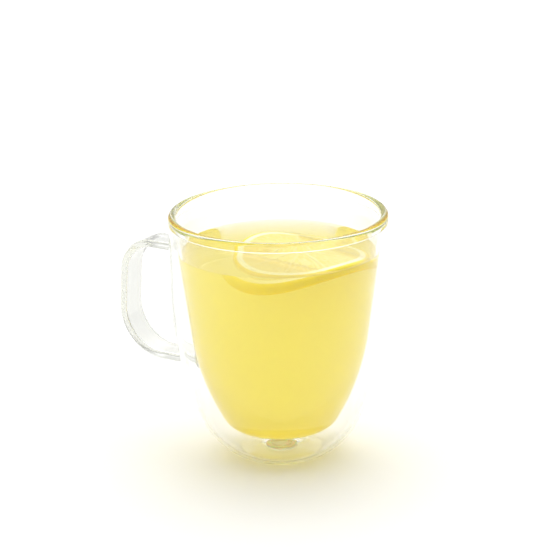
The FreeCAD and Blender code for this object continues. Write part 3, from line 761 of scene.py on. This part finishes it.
@dataclass(frozen=True)
class Handle:
    """Flat strap bent from an upper root round to a lower one, with fused glass at both.

    Its ends lie in the middle of the shell's wall, so that no air shows between the two.
    """

    shell: Shell
    width: float = 12.8 * MM
    thickness: float = 3.3 * MM
    edge: float = 1.3 * MM
    lean: float = math.radians(3.7)
    top_centre: tuple[float, float] = (-59.07 * MM, 69.1 * MM)
    top_bend: float = 14.3 * MM
    low_centre: tuple[float, float] = (-55.05 * MM, 53.8 * MM)
    low_bend: float = 19.3 * MM
    root_flare: float = 1.4 * MM
    cap_shares: tuple[float, ...] = (0.25, 0.5, 0.75, 0.97)
    corner_points: int = 8
    side_points: int = 14
    bend_rings: int = 40
    flare_rings: int = 8

    def outline(self) -> tuple[np.ndarray, np.ndarray]:
        """Rectangle with rounded corners.

        Returns:
            Points round it, as across and out, and the outward direction at each.
        """
        across = 0.5 * self.width - self.edge
        out = 0.5 * self.thickness - self.edge
        middles = np.array(((across, out), (-across, out), (-across, -out), (across, -out)))
        points = []
        ways = []
        for quarter, middle in enumerate(middles):
            start = 0.5 * math.pi * quarter
            way = arc_points(np.zeros(2), 1.0, start, start + 0.5 * math.pi, self.corner_points)
            share = np.linspace(0.0, 1.0, self.side_points)[1:-1, None]
            last = middle + self.edge * way[-1]
            following = middles[(quarter + 1) % 4] + self.edge * way[-1]
            points += [middle + self.edge * way, last + share * (following - last)]
            ways += [way, np.broadcast_to(way[-1], (len(share), 2))]
        return np.vstack(points), np.vstack(ways)

    def bend(self, centre: tuple[float, float], radius: float, start: float, end: float) -> np.ndarray:
        """Rings of the outline round one bend.

        Args:
            centre: Centre of the bend, as x and z.
            radius: Radius of the strap's middle.
            start: Angle at which the bend begins.
            end: Angle at which it ends.

        Returns:
            The rings.
        """
        points, _ = self.outline()
        facing = np.linspace(start, end, self.bend_rings)[:, None]
        reach = radius + points[None, :, 1]
        across = np.repeat(-points[None, :, 0], self.bend_rings, axis=0)
        x = centre[0] + reach * np.cos(facing)
        z = centre[1] + reach * np.sin(facing)
        return np.stack((x, across, z), axis=-1)

    def on_shell(self, across: np.ndarray, heights: np.ndarray, away: float) -> np.ndarray:
        """Points at a distance from the shell's outer face, on the handle's side.

        Args:
            across: Distance of each point from the handle's middle plane.
            heights: Height of each point.
            away: Distance outwards along X.

        Returns:
            The points.
        """
        x = -np.sqrt(self.shell.radius_at(heights) ** 2 - across**2) - away
        return np.column_stack((x, across, heights))

    def root(self, height: float, upwards: float) -> tuple[np.ndarray, np.ndarray]:
        """Rings of one root, from its cap inside the wall to the end of the flare.

        The flare is a quarter round: flare * (1 - cos t) from the shell it has grown the outline
        by flare * (1 - sin t).

        Args:
            height: Height of the strap's middle.
            upwards: 1 where the outside of the strap is its upper face, or -1.

        Returns:
            The rings, and the middle of the cap.
        """
        points, ways = self.outline()
        buried = -0.5 * self.shell.wall
        grown = points + self.root_flare * ways
        rings = []
        for share in (*self.cap_shares, 1.0):
            cap = share * grown
            rings.append(self.on_shell(-cap[:, 0], height + upwards * cap[:, 1], buried))
        for turn in np.linspace(0.0, 0.5 * math.pi, self.flare_rings):
            growth = self.root_flare * (1.0 - math.sin(turn))
            away = self.root_flare * (1.0 - math.cos(turn))
            wide = points + growth * ways
            rings.append(self.on_shell(-wide[:, 0], height + upwards * wide[:, 1], away))
        middle = self.on_shell(np.zeros(1), np.full(1, height), buried)[0]
        return np.array(rings), middle

    def build(self) -> bpy.types.Object:
        """Make the strap.

        Returns:
            The mesh object.
        """
        grip = math.pi - self.lean
        top_bend = self.bend(self.top_centre, self.top_bend, 0.5 * math.pi, grip)
        low_bend = self.bend(self.low_centre, self.low_bend, grip, 1.5 * math.pi)
        upper, upper_middle = self.root(self.top_centre[1] + self.top_bend, 1.0)
        lower, lower_middle = self.root(self.low_centre[1] - self.low_bend, -1.0)
        rings = np.concatenate((upper, top_bend, low_bend, lower[::-1]))
        return new_piece("handle_strap", *closed_rings(rings, upper_middle, lower_middle))


@dataclass(frozen=True)
class Plug:
    """Silicone plug in the vent: a stem, and a flange in the hollow with a dish in its top."""

    foot: float = 0.4 * MM
    stem: float = 4.95 * MM
    seat: float = 1.85 * MM
    flange: float = 6.6 * MM
    flange_thickness: float = 1.0 * MM
    edge: float = 0.3 * MM
    dish: float = 4.4 * MM
    dish_depth: float = 0.5 * MM
    edge_points: int = 6
    around: int = 120

    def build(self) -> bpy.types.Object:
        """Make the plug.

        Returns:
            The mesh object.
        """
        top = self.seat + self.flange_thickness
        rounds = (
            (self.stem - self.edge, self.foot + self.edge, -0.5 * math.pi, 0.0),
            (self.flange - self.edge, self.seat + self.edge, -0.5 * math.pi, 0.0),
            (self.flange - self.edge, top - self.edge, 0.0, 0.5 * math.pi),
            (self.dish + self.edge, top - self.edge, 0.5 * math.pi, math.pi),
        )
        arcs = [
            arc_points(np.array((radius, height)), self.edge, start, end, self.edge_points)
            for radius, height, start, end in rounds
        ]
        inner = np.array(((self.stem, self.seat),))
        floor = np.array(((self.dish, top - self.dish_depth), (0.5 * self.dish, top - self.dish_depth)))
        section = np.vstack((arcs[0], inner, *arcs[1:], floor))
        poles = np.array(((0.0, 0.0, self.foot), (0.0, 0.0, top - self.dish_depth)))
        return new_piece("vent_plug_body", *closed_rings(lathe(section, self.around), *poles))


# ---- The slice of lemon ----


@dataclass(frozen=True)
class LemonSlice:
    """A round slice arched over one ridge, as one closed skin.

    A point of the slice has a place in its plan (radius and angle) and an offset from the middle
    of its thickness. The arch lifts it to sqrt((curl + offset)^2 - across^2) - curl, where across
    is its distance from the ridge.
    """

    centre: Vector
    radius: float
    rise: float
    curl: float = 53.0 * MM
    pitch: float = math.radians(1.3)
    bearing: float = math.radians(163.7)
    thickness: float = 3.8 * MM
    edge: float = 1.1 * MM
    zest_depth: float = 1.4 * MM
    pith_width: float = 2.2 * MM
    core_radius: float = 2.2 * MM
    membrane: float = 0.5 * MM
    skin_juice: float = 0.85
    skin_blend: float = 0.5 * MM
    zest_blend: float = 0.2 * MM
    segments: int = 9
    pulp_sink: float = 0.3 * MM
    cell_relief: float = 0.16 * MM
    cells_per_segment: int = 26
    cell_stretch: float = 0.32
    cell_width: float = 0.6 * MM
    cell_turns: float = 7.0
    cell_free_share: float = 0.02
    around: int = 360
    face_rings: int = 74
    edge_rings: int = 16
    seed: int = 11

    def face_profile(self) -> tuple[np.ndarray, np.ndarray]:
        """Radius and offset of each ring, from the middle of the top to the middle of the bottom.

        The faces are flat here, and the edge between them is upright with two quarter rounds.

        Returns:
            The radii and the offsets of the rings.
        """
        half = 0.5 * self.thickness
        flat = self.radius - self.edge
        rings = np.linspace(0.0, flat, self.face_rings + 1)[1:]
        top = np.stack((rings, np.full_like(rings, half)), axis=-1)
        centre = np.array((flat, half - self.edge))
        upper = arc_points(centre, self.edge, 0.5 * math.pi, 0.0, self.edge_rings)
        rim = np.vstack((top[:-1], upper))
        bottom = rim[::-1] * (1.0, -1.0)
        profile = np.vstack((rim, bottom))
        return profile[:, 0], profile[:, 1]

    def segment_depth(self, radii: np.ndarray, angles: np.ndarray) -> np.ndarray:
        """How deep a point lies inside its segment.

        The depth is the smallest of the distances to the nearest skin, radius * sin(angle from the
        skin), to the core and to the pith, and it is negative outside the segment.

        Args:
            radii: Distance of each point from the middle.
            angles: Angle of each point.

        Returns:
            The depth of each point, in metres.
        """
        width = 2.0 * math.pi / self.segments
        off_skin = np.abs(np.mod(angles + 0.5 * width, width) - 0.5 * width)
        from_skin = radii * np.sin(off_skin) - 0.5 * self.membrane
        from_core = radii - self.core_radius
        from_pith = self.radius - self.pith_width - self.zest_depth - radii
        return np.minimum(np.minimum(from_skin, from_core), from_pith)

    def juice_cells(self, radii: np.ndarray, angles: np.ndarray) -> np.ndarray:
        """Fullness of the juice cells: 0 on the border of two cells and 1 in a cell's middle.

        Seeds are strewn over the pulp along a few turns, and the distance to a seed counts only a
        part of its radial share, so that cells are long towards the core. The value is the second
        smallest distance less the smallest, over the width of a cell's rounded border.

        Args:
            radii: Distance of each point from the middle.
            angles: Angle of each point.

        Returns:
            The fullness at each point.
        """
        chance = np.random.default_rng(self.seed)
        count = self.segments * self.cells_per_segment
        reach = self.radius - self.pith_width
        seed_radii = reach * np.sqrt(chance.uniform(self.cell_free_share, 1.0, count))
        steps = np.arange(count) + chance.uniform(0.0, 1.0, count)
        seed_angles = 2.0 * math.pi * self.cell_turns * steps / count
        turn = np.abs(np.mod(angles[:, None] - seed_angles[None] + math.pi, 2.0 * math.pi) - math.pi)
        along = (radii[:, None] - seed_radii[None]) * self.cell_stretch
        across = radii[:, None] * turn
        distance = np.sort(np.hypot(along, across), axis=1)[:, :2]
        return np.clip((distance[:, 1] - distance[:, 0]) / self.cell_width, 0.0, 1.0)

    def set_in_tea(self, plan: np.ndarray, offsets: np.ndarray) -> np.ndarray:
        """Arch the slice and set it in its place.

        Args:
            plan: Place of each point along the ridge and across it.
            offsets: Offset of each point from the middle of the thickness.

        Returns:
            The places of the points in the frame of the mug.
        """
        lift = np.sqrt((self.curl + offsets) ** 2 - plan[:, 1] ** 2) - self.curl
        local = np.column_stack((plan, lift))
        turn = Matrix.Rotation(self.bearing, 3, "Z") @ Matrix.Rotation(-self.pitch, 3, "Y")
        return local @ np.array(turn).T + np.array(self.centre)

    def shore_distance(self, across_mug: np.ndarray) -> np.ndarray:
        """Distance from the part of the slice that stands out of the tea.

        The slice stands out where it is within sqrt((curl + half thickness)^2 - (curl - height)^2)
        of its ridge, with height the ridge's own height above the tea there.

        Args:
            across_mug: Places on the surface of the tea, as x and y.

        Returns:
            The distance, which is negative over that part.
        """
        offset = across_mug - np.array(self.centre)[:2]
        along = offset @ np.array((math.cos(self.bearing), math.sin(self.bearing)))
        across = offset @ np.array((-math.sin(self.bearing), math.cos(self.bearing)))
        height = self.rise + along * math.tan(self.pitch)
        half_width = np.sqrt((self.curl + 0.5 * self.thickness) ** 2 - (self.curl - height) ** 2)
        beside = np.abs(across) - half_width
        beyond = np.hypot(along, across) - self.radius
        return np.maximum(beside, beyond)

    def build(self) -> bpy.types.Object:
        """Make the slice and its attributes.

        Returns:
            The mesh object.
        """
        radii, offsets = self.face_profile()
        angles = np.arange(self.around) * 2.0 * math.pi / self.around
        ring_radii = np.repeat(radii, self.around)
        ring_offsets = np.repeat(offsets, self.around)
        ring_angles = np.tile(angles, len(radii))
        depth = self.segment_depth(ring_radii, ring_angles)
        pulp = blend_step(0.0, self.skin_blend, depth)
        within = self.radius - self.pith_width - self.zest_depth - ring_radii
        juicy = np.maximum(pulp, self.skin_juice * blend_step(0.0, self.skin_blend, within))
        cell = self.juice_cells(ring_radii, ring_angles)
        sink = pulp * (self.pulp_sink - self.cell_relief * cell)
        ring_offsets = ring_offsets - np.sign(ring_offsets) * sink
        half = 0.5 * self.thickness
        zest_start = self.radius - self.zest_depth
        zest = blend_step(zest_start - self.zest_blend, zest_start, ring_radii)
        plan = ring_radii[:, None] * np.column_stack((np.cos(ring_angles), np.sin(ring_angles)))
        rings = self.set_in_tea(plan, ring_offsets).reshape(len(radii), self.around, 3)
        poles = self.set_in_tea(np.zeros((2, 2)), np.array((half, -half)))
        piece = new_piece("lemon_slice_cut", *closed_rings(rings[::-1], poles[1], poles[0]))
        for name, values in (("zest", zest), ("pulp", juicy), ("cell", cell)):
            ordered = values.reshape(len(radii), self.around)[::-1].reshape(-1)
            give_attribute(piece, name, np.append(ordered, (0.0, 0.0)))
        return piece


# ---- The tea ----


@dataclass(frozen=True)
class TeaBody:
    """The drink: the inside of the bowl up to its level, with a surface that climbs what it wets."""

    bowl: Bowl
    level: float
    reach: float = 0.2 * MM
    wall_climb: float = 0.15 * MM
    slice_climb: float = 0.45 * MM
    climb_length: float = 1.1 * MM
    crease: float = 0.02 * MM
    around: int = 288
    surface_rings: int = 90
    shore_crowding: float = 1.3

    def surface_height(self, places: np.ndarray, shore: float, lemon: LemonSlice) -> np.ndarray:
        """Height of the surface: the level, plus a climb that fades as exp(-distance / length).

        Args:
            places: Places on the surface, as x and y.
            shore: Radius at which the tea meets the glass.
            lemon: The slice, which the tea climbs too.

        Returns:
            The height at each place.
        """
        from_wall = shore - np.hypot(places[:, 0], places[:, 1])
        from_slice = np.maximum(lemon.shore_distance(places), 0.0)
        climb = self.wall_climb * np.exp(-from_wall / self.climb_length)
        return self.level + climb + self.slice_climb * np.exp(-from_slice / self.climb_length)

    def build(self, lemon: LemonSlice) -> bpy.types.Object:
        """Make the tea round the slice.

        Args:
            lemon: The slice that lies in it.

        Returns:
            The mesh object.
        """
        inset = self.bowl.wall - self.reach
        top = self.level + self.wall_climb
        shore = self.bowl.cone_radius(inset, top)
        wall = np.vstack((self.bowl.section(inset, top - self.crease), (shore, top)))
        spacing = 1.0 - np.linspace(0.0, 1.0, self.surface_rings + 1)[:-1] ** self.shore_crowding
        surface_radii = (shore - self.crease) * spacing
        circle = lathe(np.array(((1.0, 0.0),)), self.around)[0, :, :2]
        places = (surface_radii[:, None, None] * circle[None]).reshape(-1, 2)
        heights = self.surface_height(places, shore, lemon)
        surface_rings = np.column_stack((places, heights)).reshape(-1, self.around, 3)
        rings = np.concatenate((lathe(wall, self.around), surface_rings))
        foot = np.array((0.0, 0.0, self.bowl.base_height + self.bowl.wall - self.reach))
        crown = np.array((0.0, 0.0, self.surface_height(np.zeros((1, 2)), shore, lemon)[0]))
        return new_piece("tea_body", *closed_rings(rings, foot, crown))


# ---- Studio ----


class LightTree(ShaderTree):
    """The node tree of the light that comes from all round."""

    def facing(self, way: tuple[float, float, float]) -> bpy.types.NodeSocket:
        """Measure how nearly the light comes from one way.

        Args:
            way: The way, of length 1.

        Returns:
            The cosine between that way and the one that the light comes from.
        """
        node = self.add("VectorMath", operation="DOT_PRODUCT")
        node.inputs[1].default_value = way
        self.join(self.add("TexCoord").outputs["Generated"], node.inputs[0])
        return node.outputs["Value"]

    def combined(self, kind: str, *sources: bpy.types.NodeSocket) -> bpy.types.NodeSocket:
        """Join one or two numbers by arithmetic.

        Args:
            kind: Operation of the Math node.
            *sources: The numbers.

        Returns:
            The result.
        """
        node = self.add("Math", operation=kind)
        for index, source in enumerate(sources):
            self.join(source, node.inputs[index])
        return node.outputs["Value"]


@dataclass(frozen=True)
class Studio:
    """A plain pale floor in soft white light, and the camera."""

    azimuth: float = math.radians(31.0)
    elevation: float = math.radians(19.12)
    distance: float = 1.0
    aim: Vector = Vector((0.0, 0.0, 52.0 * MM))
    lens: float = 155.06
    sensor: float = 36.0
    clip_start: float = 50.0 * MM
    tilt_up: float = math.radians(1.242)
    pan: float = math.radians(0.0215)
    roll: float = math.radians(0.9)
    floor_size: float = 6.0
    floor_drop: float = 0.02 * MM
    floor_colour: Colour = (0.93, 0.93, 0.915)
    floor_roughness: float = 0.9
    horizon_light: float = 0.7
    zenith_light: float = 2.17
    side_shade: float = 0.6
    side_reach: tuple[float, float] = (0.5, 0.95)
    camera_side_shade: float = 0.2
    camera_side_reach: tuple[float, float] = (0.1, 0.8)
    glow: float = 1.8
    glow_height: float = math.radians(55.0)
    glow_reach: tuple[float, float] = (0.8, 0.99)
    light_turns: int = 400
    floor_turns: int = 6

    def add_floor(self) -> None:
        """Lay the floor a hair below the foot of the mug, so that the two faces don't coincide."""
        half = 0.5 * self.floor_size
        low = -self.floor_drop
        square = np.array(((-half, -half, low), (half, -half, low), (half, half, low), (-half, half, low)))
        floor = new_piece("floor", square, [[0, 1, 2, 3]])
        tree = MaterialTree("pale_floor")
        tree.principled(
            Base_Color=(*self.floor_colour, 1.0), Roughness=self.floor_roughness, Specular_IOR_Level=0.0
        )
        floor.data.materials.append(tree.material)

    def add_camera(self) -> None:
        """Set up the camera, which looks at the mug's axis from its distance and elevation."""
        level = math.cos(self.elevation)
        away = Vector(
            (math.sin(self.azimuth) * level, -math.cos(self.azimuth) * level, math.sin(self.elevation))
        )
        data = bpy.data.cameras.new("camera")
        data.lens = self.lens
        data.sensor_width = self.sensor
        data.clip_start = self.clip_start
        camera = bpy.data.objects.new("camera", data)
        bpy.context.scene.collection.objects.link(camera)
        down = self.elevation - self.tilt_up
        turn = (
            Matrix.Rotation(self.azimuth - self.pan, 4, "Z")
            @ Matrix.Rotation(0.5 * math.pi - down, 4, "X")
            @ Matrix.Rotation(-self.roll, 4, "Z")
        )
        camera.matrix_world = Matrix.Translation(self.aim + self.distance * away) @ turn
        bpy.context.scene.camera = camera

    def add_light(self) -> None:
        """Fill the room with white light, brighter from above and dim on the camera's side.

        The light is a straight blend from the horizon's to the zenith's by the height of its
        direction. It is then dimmed the more it comes from the sides or from behind the camera,
        and raised round one way, high up behind the mug.
        """
        world = bpy.data.worlds.new("white_room")
        bpy.context.scene.world = world
        world.use_nodes = True
        light = LightTree(world.node_tree, "OutputWorld")
        sine, cosine = math.sin(self.azimuth), math.cos(self.azimuth)
        level, up = math.cos(self.glow_height), math.sin(self.glow_height)
        sideways = light.combined("ABSOLUTE", light.facing((cosine, sine, 0.0)))
        side = light.span(sideways, self.side_reach, (1.0, self.side_shade))
        towards = light.facing((sine, -cosine, 0.0))
        front = light.span(towards, self.camera_side_reach, (1.0, self.camera_side_shade))
        behind = light.facing((-sine * level, cosine * level, up))
        back = light.span(behind, self.glow_reach, (1.0, self.glow))
        shade = light.combined("MULTIPLY", light.combined("MULTIPLY", side, front), back)
        height = light.add("MapRange")
        height.inputs["To Min"].default_value = self.horizon_light
        height.inputs["To Max"].default_value = self.zenith_light
        light.join(light.facing((0.0, 0.0, 1.0)), height.inputs["Value"])
        background = light.add("Background")
        strength = light.combined("MULTIPLY", height.outputs["Result"], shade)
        light.join(strength, background.inputs["Strength"])
        light.join(background.outputs["Background"], light.output.inputs["Surface"])

    def build(self) -> None:
        """Set up floor, light, camera and how the picture is shown."""
        self.add_floor()
        self.add_light()
        self.add_camera()
        scene = bpy.context.scene
        scene.view_settings.view_transform = "Standard"
        scene.cycles.blur_glossy = 0.0
        scene.cycles.max_bounces = self.light_turns
        scene.cycles.transmission_bounces = self.light_turns
        scene.cycles.glossy_bounces = self.light_turns
        scene.cycles.volume_bounces = self.light_turns
        scene.cycles.diffuse_bounces = self.floor_turns


def main() -> None:
    """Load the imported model, build the looks round it and report each piece."""
    logging.basicConfig(level=logging.INFO, format="%(name)s: %(message)s")
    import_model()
    bowl = Bowl()
    shell = Shell()
    tea_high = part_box(Node.TEA.value)[1]
    slice_low, slice_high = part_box(Node.SLICE.value)
    middle = 0.5 * (slice_low + slice_high)
    lemon = LemonSlice(
        centre=Vector((middle.x, middle.y, tea_high.z + SLICE_RISE)),
        radius=0.5 * (slice_high.x - slice_low.x),
        rise=SLICE_RISE,
    )
    tea = TeaBody(bowl=bowl, level=tea_high.z)
    glass = GlassFinish().build()
    # The strap is the same glass as the wall, made darker here as painted shade.
    painted_shade_strap_glass = GlassFinish(name="painted_shade_strap_glass", clearness=STRAP_PAINTED_SHADE_CLEARNESS).build()
    finished = (
        (DoubleWall(bowl, shell).build(), glass, Node.GLASS, Slot.GLASS),
        (Handle(shell).build(), painted_shade_strap_glass, Node.GLASS, Slot.GLASS),
        (Plug().build(), SiliconeFinish().build(), Node.PLUG, Slot.PLUG),
        (lemon.build(), LemonFinish().build(), Node.SLICE, Slot.SLICE),
        (tea.build(lemon), TeaFinish().build(), Node.TEA, Slot.TEA),
    )
    for piece, material, node, slot in finished:
        piece.data.materials.append(material)
        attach(piece, ROOT)
        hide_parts(node.value)
        LOG.info("%s: %d vertices", piece.name, len(piece.data.vertices))
    Studio().build()


if __name__ == "__main__":
    main()
